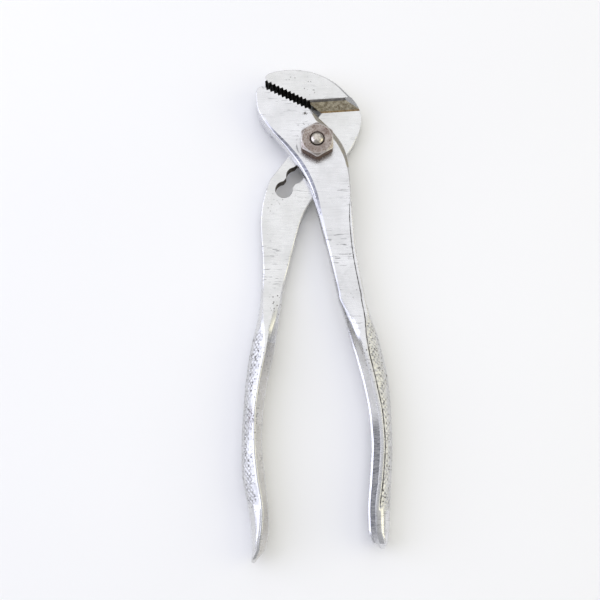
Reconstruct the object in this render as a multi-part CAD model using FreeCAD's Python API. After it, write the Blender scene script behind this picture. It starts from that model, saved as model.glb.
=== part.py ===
import FreeCAD, Part
import math
import os

# Lap-joint, multi-position slip-joint pliers.
# Frame: origin on the pivot axis at the plane the tool rests on, +Z up along the pivot,
# +Y from the pivot towards the jaws, +X towards the front half's grip. Millimetres and degrees.

# ---- Driving dimensions: layers along the pivot axis
bolt_head_thickness = 1.8
lap_thickness = 4.8
nut_height = 4.8
stud_stand_out = 0.9
stud_rounding = 0.8

# ---- Driving dimensions: head and jaws
head_reach = 33.6
jaw_angle = 153.3
front_tooth_line = 11.45
jaw_gap = 1.9
tooth_pitch = 1.64
tooth_depth = 0.9
jaw_root = 9.4
jaw_tip_share = 0.86
step_angle = 4.0
step_run = 3.2

# ---- Driving dimensions: pivot bolt, nut and slot
shank_radius = 3.25
stud_radius = 2.4
bolt_head_radius = 6.6
bolt_head_chamfer = 0.6
nut_across_flats = 12.0
nut_chamfer_angle = 30.0
running_clearance = 0.1
thread_clearance = 0.05
slot_positions = 4
slot_pitch = 7.0
slot_direction = 233.5
slot_neck_width = 4.4
neck_clearance = 0.15
slot_cusp_fillet = 0.7
cusp_share = 0.4

# ---- Driving dimensions: arms and grips
opening_angle = 50.0
closing_angle = 3.5
rear_edge_left = 6.7
rear_edge_right = 10.8
half_clearance = 0.35
front_arm = 149.2
rear_arm = 154.0
grip_edge_height = 4.6
crest_width = 1.8
section_corner = 0.05
crest_limit = 0.495
loft_steps = 2

# ---- Worked-out levels and sizes
lap_plane = bolt_head_thickness + lap_thickness
top_face = lap_plane + lap_thickness
nut_top = top_face + nut_height
grip_half_depth = lap_plane
slot_travel = slot_pitch * (slot_positions - 1)
lobe_radius = shank_radius + running_clearance
rear_tooth_line = front_tooth_line + jaw_gap

Z_AXIS = FreeCAD.Vector(0, 0, 1)


def at_angle(angle, radius):
    """A point in the plan, at an angle from +X and a distance from the pivot axis."""
    turn = math.radians(angle)
    return (radius * math.cos(turn), radius * math.sin(turn))


def along_slot(along, left):
    """A point in the plan, measured down the slot line from the pivot and to the left of it."""
    turn = math.radians(slot_direction)
    down = (math.cos(turn), math.sin(turn))
    side = (math.sin(turn), -math.cos(turn))
    return (along * down[0] + left * side[0], along * down[1] + left * side[1])


def along_jaw(along, up):
    """A point in the plan, measured out along the tooth line from the pivot and square to it."""
    turn = math.radians(jaw_angle)
    out = (math.cos(turn), math.sin(turn))
    rise = (math.sin(turn), -math.cos(turn))
    return (along * out[0] + up * rise[0], along * out[1] + up * rise[1])


def crossing(first, second, third, fourth):
    """Where the line through two plan points meets the line through two others."""
    ax, ay = second[0] - first[0], second[1] - first[1]
    bx, by = fourth[0] - third[0], fourth[1] - third[1]
    share = ((third[0] - first[0]) * by - (third[1] - first[1]) * bx) / (ax * by - ay * bx)
    return (first[0] + share * ax, first[1] + share * ay)


def vector(point, height=0.0):
    return FreeCAD.Vector(point[0], point[1], height)


def smooth(points):
    """An edge that runs smoothly through the plan points."""
    curve = Part.BSplineCurve()
    curve.interpolate([vector(point) for point in points])
    return curve.toShape()


def straight(points):
    """Straight edges from plan point to plan point."""
    corners = [vector(point) for point in points]
    return [Part.LineSegment(a, b).toShape() for a, b in zip(corners, corners[1:])]


def plate(edges, bottom, top):
    """A flat plate with the outline that the edges close, between two heights."""
    face = Part.Face(Part.Wire(Part.__sortEdges__(edges)))
    face.translate(FreeCAD.Vector(0, 0, bottom))
    return face.extrude(FreeCAD.Vector(0, 0, top - bottom))


def polygon_plate(points, bottom, top):
    return plate(straight(points + points[:1]), bottom, top)


def largest(shape):
    """The biggest solid of a result, as one clean solid."""
    return max(shape.removeSplitter().Solids, key=lambda solid: solid.Volume)


# Outlines about the pivot axis: angle from +X and share of the head's reach
head_outline = [
    (-4.5, 0.379), (4.1, 0.414), (15.6, 0.476), (23.4, 0.532), (31.6, 0.597), (42.0, 0.666),
    (55.1, 0.682), (68.6, 0.732), (85.8, 0.818), (102.2, 0.905), (117.0, 0.979), (122.2, 1.0),
    (125.6, 0.997),
]
chin_outline = [(135.3, 0.943), (141.9, 0.878), (149.3, 0.775), (154.2, 0.690)]

# Edges of the front half's plate: plan points beside the nut, then one (x, share of the arm) each
neck_left = [(-15.2, 2.2), (-9.5, -5.0), (-5.3, -11.8), (-1.9, -19.8), (0.4, -28.5)]
neck_right = [(1.2, 10.1), (7.6, 3.2), (10.9, -3.2), (12.3, -12.7), (13.0, -24.5)]
front_waist_left = (4.4, 0.303)
front_waist_right = (13.9, 0.255)

# Edges of the rear half's plate below the slot: (how far past the slot's end, how far the edge moves
# outwards from its straight run), then (x, share of the arm)
rear_bend_left = [(4.0, -1.2)]
rear_bend_right = [(-3.0, 0.0), (2.7, 0.7), (9.8, 3.0)]
rear_waist_left = [(-21.2, 0.188), (-20.5, 0.286)]
rear_waist_right = [(-10.3, 0.295)]
shoulder_start = 4.8

# Stations down each arm, from the end of its flat plate to the tip of its grip:
# share of the arm's reach, centre offset from the pivot axis, width, how far the plate has become a
# grip, share of the grip's full depth, and how far the crest leans inwards as a share of the width
front_stations = [
    (0.390, 12.3, 10.0, 0.00, 1.00, 0.00),
    (0.442, 14.5, 9.6, 0.30, 1.00, 0.05),
    (0.496, 16.9, 10.2, 0.80, 1.00, 0.10),
    (0.550, 19.1, 10.0, 0.97, 1.00, 0.13),
    (0.612, 21.1, 9.2, 1.00, 1.00, 0.12),
    (0.690, 22.5, 7.9, 1.00, 1.00, 0.05),
    (0.757, 22.9, 7.5, 1.00, 1.00, 0.03),
    (0.840, 22.2, 7.6, 1.00, 1.00, 0.06),
    (0.905, 21.5, 7.8, 1.00, 1.00, 0.12),
    (0.956, 21.4, 7.3, 1.00, 0.95, 0.10),
    (0.985, 21.9, 5.4, 1.00, 0.80, 0.00),
    (1.000, 22.5, 2.4, 1.00, 0.55, 0.00),
]
rear_stations = [
    (0.377, 17.0, 7.9, 0.00, 1.00, 0.00),
    (0.429, 17.9, 7.8, 0.30, 1.00, 0.05),
    (0.474, 19.1, 8.5, 0.80, 1.00, 0.10),
    (0.521, 20.4, 8.7, 0.97, 1.00, 0.13),
    (0.586, 22.1, 7.9, 1.00, 1.00, 0.12),
    (0.656, 23.3, 7.1, 1.00, 1.00, 0.10),
    (0.733, 23.7, 7.2, 1.00, 1.00, 0.15),
    (0.803, 23.0, 8.0, 1.00, 1.00, 0.18),
    (0.870, 21.4, 7.2, 1.00, 1.00, 0.22),
    (0.926, 20.5, 6.2, 1.00, 0.95, 0.10),
    (0.967, 20.8, 4.8, 1.00, 0.80, 0.00),
    (1.000, 22.6, 2.0, 1.00, 0.55, 0.00),
]


def between(stations, share):
    """The station values at a share of the reach, easing from slope to slope without overshoot."""
    slopes = []
    for before, here, after in zip(stations, stations[1:], stations[2:]):
        row = []
        for column in range(1, len(here)):
            rise_in = (here[column] - before[column]) / (here[0] - before[0])
            rise_out = (after[column] - here[column]) / (after[0] - here[0])
            same_way = rise_in * rise_out > 0
            row.append(2 * rise_in * rise_out / (rise_in + rise_out) if same_way else 0.0)
        slopes.append(row)
    level = [0.0] * (len(stations[0]) - 1)
    slopes = [level] + slopes + [level]
    number = max(n for n in range(len(stations) - 1) if stations[n][0] <= share + 1e-9)
    first, second = stations[number], stations[number + 1]
    span = second[0] - first[0]
    t = (share - first[0]) / span
    values = []
    for column in range(1, len(first)):
        keep = first[column] * (2 * t ** 3 - 3 * t ** 2 + 1) + second[column] * (3 * t ** 2 - 2 * t ** 3)
        lean = slopes[number][column - 1] * (t ** 3 - 2 * t ** 2 + t)
        lean += slopes[number + 1][column - 1] * (t ** 3 - t ** 2)
        values.append(keep + lean * span)
    return values


def grip(stations, side, reach, plate_bottom, plate_top):
    """Loft a grip from the end of its flat plate to its tip, through eight-sided sections."""
    shares = []
    for first, second in zip(stations, stations[1:]):
        shares += [first[0] + (second[0] - first[0]) * step / loft_steps for step in range(loft_steps)]
    shares.append(stations[-1][0])
    wires = []
    plate_middle = (plate_bottom + plate_top) / 2
    for share in shares:
        centre, width, formed, depth, inwards = between(stations, share)
        middle = plate_middle * (1 - formed) + lap_plane * formed
        tall = lap_thickness / 2 * (1 - formed) + grip_half_depth * depth * formed
        edge = (lap_thickness / 2 - section_corner) * (1 - formed) + grip_edge_height / 2 * depth * formed
        crest = (width / 2 - section_corner) * (1 - formed) + crest_width / 2 * formed
        crest = min(crest, width * crest_limit)
        lean = -formed * inwards * width
        half = width / 2
        corners = [(-half, -edge), (lean - crest, -tall), (lean + crest, -tall), (half, -edge)]
        corners += [(half, edge), (lean + crest, tall), (lean - crest, tall), (-half, edge)]
        y = -share * reach
        ring = [FreeCAD.Vector(side * (centre + offset), y, middle + z) for offset, z in corners]
        wires.append(Part.makePolygon(ring + ring[:1]))
    return Part.makeLoft(wires, True, True)


def plate_end(stations, reach, side):
    """The inner and outer plan points where an arm's flat plate meets its grip."""
    share, centre, width = stations[0][:3]
    inner = (side * (centre - width / 2 + section_corner), -share * reach)
    outer = (side * (centre + width / 2 - section_corner), -share * reach)
    return inner, outer


def teeth(line, opening):
    """Triangular cutters square to the tooth line, cut right through the jaws.

    opening is +1 where the jaw lies below its tooth line and -1 where it lies above.
    """
    count = int((head_reach - jaw_root) / tooth_pitch) + 1
    cutters = []
    for number in range(count):
        start = jaw_root + number * tooth_pitch
        root = line - opening * tooth_depth
        clear = line + opening * tooth_depth
        tips = [along_jaw(start, line), along_jaw(start + tooth_pitch / 2, root)]
        tips += [along_jaw(start + tooth_pitch, line), along_jaw(start + tooth_pitch, clear)]
        tips += [along_jaw(start, clear)]
        cutters.append(polygon_plate(tips, 0, top_face + 1))
    return Part.Compound(cutters)


def slot_cutter():
    """Round lobes on the slot line joined by a narrower channel, with the cusps rounded."""
    half = slot_neck_width / 2
    lobes = []
    for number in range(slot_positions):
        lobe = Part.makeCylinder(lobe_radius, top_face)
        lobe.translate(vector(along_slot(number * slot_pitch, 0)))
        lobes.append(lobe)
    corners = [along_slot(0, half), along_slot(slot_travel, half)]
    corners += [along_slot(slot_travel, -half), along_slot(0, -half)]
    cutter = polygon_plate(corners, 0, top_face).multiFuse(lobes).removeSplitter()
    left_x, left_y = along_slot(0, 1)
    cusps = []
    for edge in cutter.Edges:
        middle = edge.CenterOfMass
        left = middle.x * left_x + middle.y * left_y
        upright = abs(edge.tangentAt(edge.FirstParameter).z) > 0.99
        if upright and abs(abs(left) - half) < 0.01:
            cusps.append(edge)
    neck_length = slot_pitch - 2 * math.sqrt(lobe_radius ** 2 - half ** 2)
    return cutter.makeFillet(min(slot_cusp_fillet, cusp_share * neck_length), cusps)


def step_cutter(foot):
    """All that lies above the lap plane and in front of the sloping step wall, from its foot down."""
    far = 3 * head_reach
    profile = [(0, 0), (2 * step_run, 2 * lap_thickness), (-far, 2 * lap_thickness), (-far, 0)]
    ring = [FreeCAD.Vector(-far, y, z) for y, z in profile]
    cutter = Part.Face(Part.makePolygon(ring + ring[:1])).extrude(FreeCAD.Vector(2 * far, 0, 0))
    cutter.rotate(FreeCAD.Vector(0, 0, 0), Z_AXIS, step_angle)
    cutter.translate(vector(foot, lap_plane))
    return cutter


def build_rear_half():
    """Upper jaw, lower lap plate with the slot, and the left grip."""
    inner_end, outer_end = plate_end(rear_stations, rear_arm, -1)
    nose = along_jaw(head_reach * jaw_tip_share, rear_tooth_line)
    neck = [along_slot(0, rear_edge_left), along_slot(slot_travel, rear_edge_left)]
    foot = crossing(along_jaw(0, rear_tooth_line), nose, neck[0], neck[1])
    left = [neck[1]] + [along_slot(slot_travel + past, rear_edge_left + out) for past, out in rear_bend_left]
    left += [(x, -share * rear_arm) for x, share in rear_waist_left] + [outer_end]
    shoulder = along_slot(-shoulder_start, -rear_edge_right)
    right = [along_slot(slot_travel + past, -rear_edge_right - out) for past, out in rear_bend_right]
    right += [(x, -share * rear_arm) for x, share in rear_waist_right] + [inner_end]
    back = [at_angle(angle, share * head_reach) for angle, share in head_outline]
    edges = straight([nose, foot, neck[1]]) + [smooth(left)]
    edges += straight([outer_end, inner_end]) + [smooth(right)]
    edges += straight([right[0], shoulder]) + [smooth([shoulder] + back + [nose])]
    body = plate(edges, bolt_head_thickness, top_face).cut(step_cutter(foot))
    arm = grip(rear_stations, -1, rear_arm, bolt_head_thickness, lap_plane)
    body = body.fuse(arm).removeSplitter()
    return largest(body.cut(teeth(rear_tooth_line, -1)).cut(slot_cutter()))


def build_front_half():
    """Lower jaw, upper lap plate with the pivot bore, and the right grip."""
    inner_end, outer_end = plate_end(front_stations, front_arm, 1)
    root = along_jaw(jaw_root, front_tooth_line)
    nose = along_jaw(head_reach * jaw_tip_share, front_tooth_line)
    chin = [nose] + [at_angle(angle, share * head_reach) for angle, share in chin_outline]
    left = [chin[-1]] + neck_left + [(front_waist_left[0], -front_waist_left[1] * front_arm), inner_end]
    right = [root] + neck_right + [(front_waist_right[0], -front_waist_right[1] * front_arm), outer_end]
    edges = straight([root, nose]) + [smooth(chin), smooth(left)]
    edges += straight([inner_end, outer_end]) + [smooth(right)]
    high_plate = plate(edges, lap_plane, top_face)

    # The jaw is as deep as both laps, but only where it clears the rear half's edge beside the slot
    # in every slot position, from closed to fully open.
    guard = rear_edge_left + half_clearance
    swing = math.radians(opening_angle)
    corner_along = -guard * math.tan(swing / 2)
    inner = along_slot(corner_along, guard)
    far = 2 * head_reach
    turned = along_slot(corner_along + far * math.cos(swing), guard + far * math.sin(swing))
    lean = math.tan(math.radians(closing_angle))
    upper = along_slot(-front_tooth_line, guard + front_tooth_line * lean)
    beyond = [along_jaw(jaw_root, far), along_jaw(1.5 * far, far)]
    jaw = plate(edges, bolt_head_thickness, lap_plane)
    jaw = jaw.common(polygon_plate([inner, upper] + beyond + [turned], 0, top_face))

    arm = grip(front_stations, 1, front_arm, lap_plane, top_face)
    body = high_plate.multiFuse([jaw, arm]).removeSplitter()
    bore = Part.makeCylinder(lobe_radius, top_face + 1)
    return largest(body.cut(teeth(front_tooth_line, 1)).cut(bore))


def build_pivot_bolt():
    """Wide thin head, shank with two flats in the slot, round shank in the front half, peened stud."""
    head = Part.makeCylinder(bolt_head_radius, bolt_head_thickness)
    head = head.makeChamfer(bolt_head_chamfer, [head.Edges[2]])
    shank = Part.makeCylinder(shank_radius, 2 * lap_thickness, vector((0, 0), bolt_head_thickness))
    half = slot_neck_width / 2 - neck_clearance
    reach = shank_radius + 1
    for side in (-1, 1):
        corners = [along_slot(-reach, side * half), along_slot(reach, side * half)]
        corners += [along_slot(reach, side * reach), along_slot(-reach, side * reach)]
        shank = shank.cut(polygon_plate(corners, bolt_head_thickness, lap_plane))
    stud = Part.makeCylinder(stud_radius, nut_height + stud_stand_out, vector((0, 0), top_face))
    stud = stud.makeFillet(stud_rounding, [stud.Edges[0]])
    return largest(head.multiFuse([shank, stud]))


def build_hex_nut():
    """Plain hexagon nut, its corners turned off at the top, two flats facing left and right."""
    corner = nut_across_flats / 2 / math.cos(math.radians(30))
    corners = [at_angle(90 + 60 * number, corner) for number in range(6)]
    nut = polygon_plate(corners, top_face, nut_top)
    foot_radius = nut_across_flats / 2 + nut_height / math.tan(math.radians(nut_chamfer_angle))
    cone = Part.makeCone(foot_radius, nut_across_flats / 2, nut_height, vector((0, 0), top_face))
    nut = nut.common(cone)
    bore = Part.makeCylinder(stud_radius + thread_clearance, nut_height, vector((0, 0), top_face))
    return largest(nut.cut(bore))


pieces = {
    "rear_half": build_rear_half(),
    "front_half": build_front_half(),
    "pivot_bolt": build_pivot_bolt(),
    "hex_nut": build_hex_nut(),
}

os.makedirs("parts", exist_ok=True)
for name, shape in pieces.items():
    box = shape.BoundBox
    print(name, "valid", shape.isValid(), "volume", round(shape.Volume), "box",
          [round(v, 2) for v in (box.XMin, box.YMin, box.ZMin, box.XMax, box.YMax, box.ZMax)])
    shape.exportStep("parts/" + name + ".step")
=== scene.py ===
# %% [markdown]
# # Plated slip-joint pliers
# The tool is two forged halves, lapped over each other on a bolt that slips along a scalloped slot.
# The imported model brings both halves, the bolt and the nut as plain solids in one frame. This file
# keeps that frame, and gives each piece the finer shape and the worn finish that a used tool has.

# %% The frame
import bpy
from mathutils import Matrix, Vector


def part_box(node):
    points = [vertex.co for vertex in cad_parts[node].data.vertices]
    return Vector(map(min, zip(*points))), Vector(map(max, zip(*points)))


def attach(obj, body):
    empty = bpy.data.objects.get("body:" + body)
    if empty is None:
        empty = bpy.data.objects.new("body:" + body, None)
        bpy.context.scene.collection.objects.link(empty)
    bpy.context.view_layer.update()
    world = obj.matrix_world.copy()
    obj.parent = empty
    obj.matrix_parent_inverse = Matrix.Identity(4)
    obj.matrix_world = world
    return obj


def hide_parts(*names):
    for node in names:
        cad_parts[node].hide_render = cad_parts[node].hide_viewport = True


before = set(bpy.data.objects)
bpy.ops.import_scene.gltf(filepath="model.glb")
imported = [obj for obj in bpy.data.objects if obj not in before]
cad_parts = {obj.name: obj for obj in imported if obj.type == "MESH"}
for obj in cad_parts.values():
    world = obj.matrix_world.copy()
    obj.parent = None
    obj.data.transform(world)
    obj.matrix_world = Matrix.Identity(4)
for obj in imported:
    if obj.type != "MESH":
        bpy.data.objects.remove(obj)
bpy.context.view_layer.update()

from types import SimpleNamespace

import bmesh
import bpy
import numpy as np
from mathutils import Vector

MM = 1000.0

# %% [markdown]
# ## Sizes
# The layers of the tool lie along the pivot: bolt head, rear lap, front lap, nut, stud. All of them
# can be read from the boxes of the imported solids, so nothing here has to be fitted by eye. Shapes
# below are worked out in millimetres and become metres only when they are put into a mesh.

# %% Layers along the pivot and reaches of the arms, in millimetres
def box_mm(node):
    """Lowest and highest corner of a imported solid."""
    low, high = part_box(node)
    return np.array(low) * MM, np.array(high) * MM

front_low, front_high = box_mm("front_half")
nut_low, nut_high = box_mm("hex_nut")
bolt_high = box_mm("pivot_bolt")[1]
grip_half_depth = front_high[2] / 2
lap_plane = grip_half_depth
top_face = nut_low[2]
lap_thickness = top_face - lap_plane
plate_bottom = lap_plane - lap_thickness
front_arm = -front_low[1]
rear_arm = -box_mm("rear_half")[0][1]
lap_gap = 0.05
print("lap plane", lap_plane, "top face", top_face, "plate bottom", plate_bottom)

# %% Head, jaws, slot and bolt, in millimetres
jaw_turn = np.radians(153.3)
slot_turn = np.radians(233.5)
step_turn = np.radians(4.0)
head_reach = 33.6
front_tooth_line = 11.45
rear_tooth_line = 13.35
tooth_pitch = 1.64
tooth_depth = 0.9
jaw_root = 9.4
jaw_tip = 0.86 * head_reach
slot_positions = 4
slot_pitch = 7.0
slot_travel = (slot_positions - 1) * slot_pitch
slot_neck_half = 2.2
bore_radius = 3.35
shank_radius = 3.25
stud_radius = 2.4
nut_bore_radius = 2.45
rear_edge_left = 6.7
rear_edge_right = 10.8
print("tip of the jaw at", jaw_tip, "last slot position at", slot_travel)

# %% Directions in the plan
def turned_pair(turn, along, aside):
    """Step along a direction, then step to the left of it as seen when looking back to the pivot."""
    out = np.array([np.cos(turn), np.sin(turn)])
    side = np.array([np.sin(turn), -np.cos(turn)])
    return along * out + aside * side

def along_jaw(along, up):
    """Out along the tooth line, then square to it towards the upper jaw."""
    return turned_pair(jaw_turn, along, up)

def along_slot(along, left):
    """Down the slot from the pivot, then to its left."""
    return turned_pair(slot_turn, along, left)

def at_angle(angle, share):
    """A point of the head's outline: an angle from +X and a share of the head's reach."""
    return head_reach * share * np.array([np.cos(np.radians(angle)), np.sin(np.radians(angle))])

# %% [markdown]
# ## Edges of a half, and ribs between them
# A forged half is a strip of metal whose outline swings about. It could be a cut plate with rounded
# edges, but then the plate could not grow into the ridged grip. Here each half has an inner and an
# outer edge, both smooth lines in the plan, and ribs join them from the nose of the jaw to the tip of
# the grip. A section carried from rib to rib makes the whole half as one skin.

# %% Smooth lines through points
def flowing_line(points, per_span=40):
    """Cubic curve through the points. In each span the position is the Hermite blend of its two ends
    and their slopes; the slopes solve the equations that keep the curvature continuous."""
    points = np.array(points, float)
    chord = np.linalg.norm(np.diff(points, axis=0), axis=1)
    count = len(points)
    system = np.zeros((count, count))
    right = np.zeros((count, 2))
    inner = np.arange(1, count - 1)
    before, after = 1 / chord[:-1], 1 / chord[1:]
    system[inner, inner - 1] = before
    system[inner, inner] = 2 * (before + after)
    system[inner, inner + 1] = after
    steps = np.diff(points, axis=0)
    right[inner] = 3 * (steps[:-1] * before[:, None] ** 2 + steps[1:] * after[:, None] ** 2)
    system[0, :2] = 2, 1
    right[0] = 3 * steps[0] / chord[0]
    system[-1, -2:] = 1, 2
    right[-1] = 3 * steps[-1] / chord[-1]
    slopes = np.linalg.solve(system, right)
    t = (np.arange(per_span) / per_span)[None, :, None]
    start, end = points[:-1, None], points[1:, None]
    lean_in = (chord[:, None] * slopes[:-1])[:, None]
    lean_out = (chord[:, None] * slopes[1:])[:, None]
    curve = start * (2 * t**3 - 3 * t**2 + 1) + end * (3 * t**2 - 2 * t**3)
    curve = curve + lean_in * (t**3 - 2 * t**2 + t) + lean_out * (t**3 - t**2)
    return np.vstack([curve.reshape(-1, 2), points[-1:]])

def straight_line(first, last, count=60):
    """Evenly spaced points from the first to the last."""
    return np.linspace(first, last, count)

def joined(*lines):
    """Lines one after another, each starting where the one before ends."""
    return np.vstack([lines[0]] + [line[1:] for line in lines[1:]])

# %% Walking along an edge by distance
def distances(line):
    """Running sum of the lengths of the line's pieces, from zero."""
    return np.concatenate([[0.0], np.cumsum(np.linalg.norm(np.diff(line, axis=0), axis=1))])

def place_on(line, point):
    """How far along the line its nearest vertex to the point lies."""
    nearest = np.argmin(np.linalg.norm(line - np.array(point), axis=1))
    return distances(line)[nearest]

def walk(line, travelled):
    """The points that lie those distances along the line."""
    along = distances(line)
    return np.stack([np.interp(travelled, along, line[:, axis]) for axis in (0, 1)], axis=1)

# %% The stations of the grips, eased without overshoot
def eased(stations, shares):
    """Values between stations: the cubic Hermite blend whose slope at a station is the harmonic mean
    of the rises on its two sides, and zero where they disagree, so the blend never overshoots."""
    table = np.array(stations, float)
    place, values = table[:, 0], table[:, 1:]
    rises = np.diff(values, axis=0) / np.diff(place)[:, None]
    product = rises[:-1] * rises[1:]
    total = np.where(product > 0, rises[:-1] + rises[1:], 1.0)
    slopes = np.zeros_like(values)
    slopes[1:-1] = np.where(product > 0, 2 * product / total, 0.0)
    number = np.clip(np.searchsorted(place, shares, side="right") - 1, 0, len(place) - 2)
    span = np.diff(place)[number][:, None]
    t = ((shares - place[number])[:, None]) / span
    start, end = values[number], values[number + 1]
    result = start * (2 * t**3 - 3 * t**2 + 1) + end * (3 * t**2 - 2 * t**3)
    lean = slopes[number] * (t**3 - 2 * t**2 + t) + slopes[number + 1] * (t**3 - t**2)
    return result + span * lean

# Each row: share of the arm, centre from the pivot axis, width, how far the plate has become a grip,
# share of the full depth, how far the crest leans inwards as a share of the width
front_stations = [
    (0.390, 12.3, 10.0, 0.00, 1.00, 0.00), (0.442, 14.5, 9.6, 0.30, 1.00, 0.05),
    (0.496, 16.9, 10.2, 0.80, 1.00, 0.10), (0.550, 19.1, 10.0, 0.97, 1.00, 0.13),
    (0.612, 21.1, 9.2, 1.00, 1.00, 0.12), (0.690, 22.5, 7.9, 1.00, 1.00, 0.05),
    (0.757, 22.9, 7.5, 1.00, 1.00, 0.03), (0.840, 22.2, 7.6, 1.00, 1.00, 0.06),
    (0.905, 21.5, 7.8, 1.00, 1.00, 0.12), (0.956, 21.4, 7.3, 1.00, 0.95, 0.10),
    (0.985, 21.9, 5.4, 1.00, 0.80, 0.00), (1.000, 22.5, 2.4, 1.00, 0.55, 0.00),
]
rear_stations = [
    (0.377, 17.0, 7.9, 0.00, 1.00, 0.00), (0.429, 17.9, 7.8, 0.30, 1.00, 0.05),
    (0.474, 19.1, 8.5, 0.80, 1.00, 0.10), (0.521, 20.4, 8.7, 0.97, 1.00, 0.13),
    (0.586, 22.1, 7.9, 1.00, 1.00, 0.12), (0.656, 23.3, 7.1, 1.00, 1.00, 0.10),
    (0.733, 23.7, 7.2, 1.00, 1.00, 0.15), (0.803, 23.0, 8.0, 1.00, 1.00, 0.18),
    (0.870, 21.4, 7.2, 1.00, 1.00, 0.22), (0.926, 20.5, 6.2, 1.00, 0.95, 0.10),
    (0.967, 20.8, 4.8, 1.00, 0.80, 0.00), (1.000, 22.6, 2.0, 1.00, 0.55, 0.00),
]

print("grips:", len(front_stations), "stations in front,", len(rear_stations), "behind")

# %% [markdown]
# ## The section that is carried along
# Near the head the section is a flat bar with rounded edges. On the grip it is a ridge: a flat inner
# facet, a narrow bright crest, a thin groove, and a full, checkered outer side. Two separate meshes
# would leave a seam where the bar turns into the grip. So both sections are written with the same
# number of corners, and the bar melts into the ridge by blending corner with corner.

# %% The bar's corners, from the middle of the inner side to the middle of the outer side
ellipse = np.array([[0.0, 1.0], [0.08, 0.62], [0.29, 0.29], [0.62, 0.08], [1.0, 0.0]])
facet_in = np.array([[0.0, 1.0], [0.07, 0.76], [0.24, 0.53], [0.50, 0.38], [1.0, 0.0]])
facet_out = np.array([[0.0, 1.0], [0.03, 0.82], [0.10, 0.66], [0.20, 0.54], [1.0, 0.0]])
widest_edge = 0.6
bar_groove_depth = 0.60
bar_ledge_drop = 0.30

def edge_bend(flat, facet):
    """The five corners of an edge, part quarter ellipse and part facet."""
    return ellipse[None] * (1 - facet)[:, None, None] + flat[None] * facet[:, None, None]

def bar_corners(half, tall, inner_width, inner_depth, facet, outer_width, outer_depth, ledge):
    """Flat bar: up the inner side, round or facet its edge, across the top, down over the groove and
    ledge when the bar has them, and round the outer edge."""
    inner_width = np.minimum(inner_width, widest_edge * half)
    outer_width = np.minimum(outer_width, widest_edge * half)
    bend, bend_out = edge_bend(facet_in, facet), edge_bend(facet_out, facet)
    across = [-half] + [-half + inner_width * bend[:, n, 0] for n in range(5)]
    height = [0 * half] + [tall - inner_depth * bend[:, n, 1] for n in range(5)]
    start = -half + inner_width
    strength = np.clip(ledge / 0.6, 0, 1)
    lip = half - outer_width - np.maximum(ledge - outer_width, 0.02 * half) - 0.1 * strength
    lip = np.maximum(lip, start + 0.1 * (half - outer_width - start))
    room = half - outer_width - lip
    flat = lip - start
    across += [start + 0.35 * flat, start + 0.70 * flat, lip - np.minimum(0.12, 0.1 * flat), lip]
    height += [tall] * 4
    drop = bar_ledge_drop * strength
    across += [lip + room * share for share in (0.16, 0.34, 0.60)]
    height += [tall - bar_groove_depth * strength, tall - drop, tall - drop]
    for n in (4, 3, 2, 1, 0):
        across.append(half - outer_width * bend_out[:, n, 0])
        height.append(tall - drop - outer_depth * bend_out[:, n, 1])
    across.append(half)
    height.append(0 * half)
    return np.stack(across, 1), np.stack(height, 1)

# %% The ridge's corners, in the same order
facet_rise = 0.18
crest_fall = 0.12
groove_far = 0.50
groove_lip = 0.42
roundness = 0.62

def ridge_corners(half, tall, edge, lean, crest, groove, rim_width):
    """Grip: short inner side, flat inner facet, crest, groove, then an outer side that lies between a
    straight facet and a quarter ellipse."""
    rim = np.minimum(rim_width, 0.35 * half)
    facet_q, facet_h = -half + rim, edge + facet_rise
    top_q, top_h = lean - crest, tall - crest_fall
    across = [-half, -half, -half + 0.16 * rim, facet_q]
    height = [0 * half, 0.82 * edge, edge - 0.12, facet_h]
    for share in (1 / 3, 2 / 3, 1.0):
        across.append(facet_q + (top_q - facet_q) * share)
        height.append(facet_h + (top_h - facet_h) * share)
    across += [lean - 0.45 * crest, lean + 0.5 * crest, lean + crest]
    height += [tall, tall - 0.01, tall - crest_fall]
    start_q, start_h = lean + crest + groove_far, tall - groove_lip
    across += [lean + crest + 0.22, start_q]
    height += [tall - crest_fall - groove, start_h]
    end_h = 0.72 * edge
    for share in (0.18, 0.36, 0.54, 0.70, 0.86, 1.0):
        turn = share * np.pi / 2
        out = roundness * np.sin(turn) + (1 - roundness) * share
        down = roundness * np.cos(turn) + (1 - roundness) * (1 - share)
        across.append(start_q + (half - start_q) * out)
        height.append(end_h + (start_h - end_h) * down)
    across.append(half)
    height.append(0 * half)
    return np.stack(across, 1), np.stack(height, 1)

# %% Steps between the corners, and which stretch of the section is which
span_steps = np.array([3, 1, 1, 2, 3, 4, 1, 3, 1, 2, 2, 4, 6, 6, 6, 6, 5, 9])
corner_starts = np.concatenate([[0], np.cumsum(span_steps)])
spans = np.arange(len(span_steps))
span_of_point = np.concatenate([np.repeat(spans, span_steps), np.repeat(spans[::-1], span_steps[::-1])])
points_around = len(span_of_point)
outer_middle = corner_starts[-1]
point_number = np.arange(points_around)
twin_above = np.where(point_number <= outer_middle, point_number, points_around - point_number)
neck_flank, bar_facet, ridge_facet, bar_outer_facet = (1, 2, 3, 4), (4,), (3, 4, 5), (13, 14)
groove_corner, panel_corner = 9, 11
tooth_flank_corner = 13

def filled(corners, steps):
    """Straight steps from corner to corner of every rib's section at once, without the last corner."""
    parts = []
    for number, count in enumerate(steps):
        t = np.arange(count) / count
        start, end = corners[:, number, None], corners[:, number + 1, None]
        parts.append(start + (end - start) * t[None])
    return np.concatenate(parts, axis=1)

print(points_around, "points round each section")

# %% Meshes from grids
def mesh_piece(name, points, faces):
    """A mesh object at the origin from points in millimetres."""
    mesh = bpy.data.meshes.new(name)
    mesh.from_pydata((np.asarray(points) / MM).tolist(), [], faces)
    mesh.update()
    piece = bpy.data.objects.new(name, mesh)
    bpy.context.scene.collection.objects.link(piece)
    return piece

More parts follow.
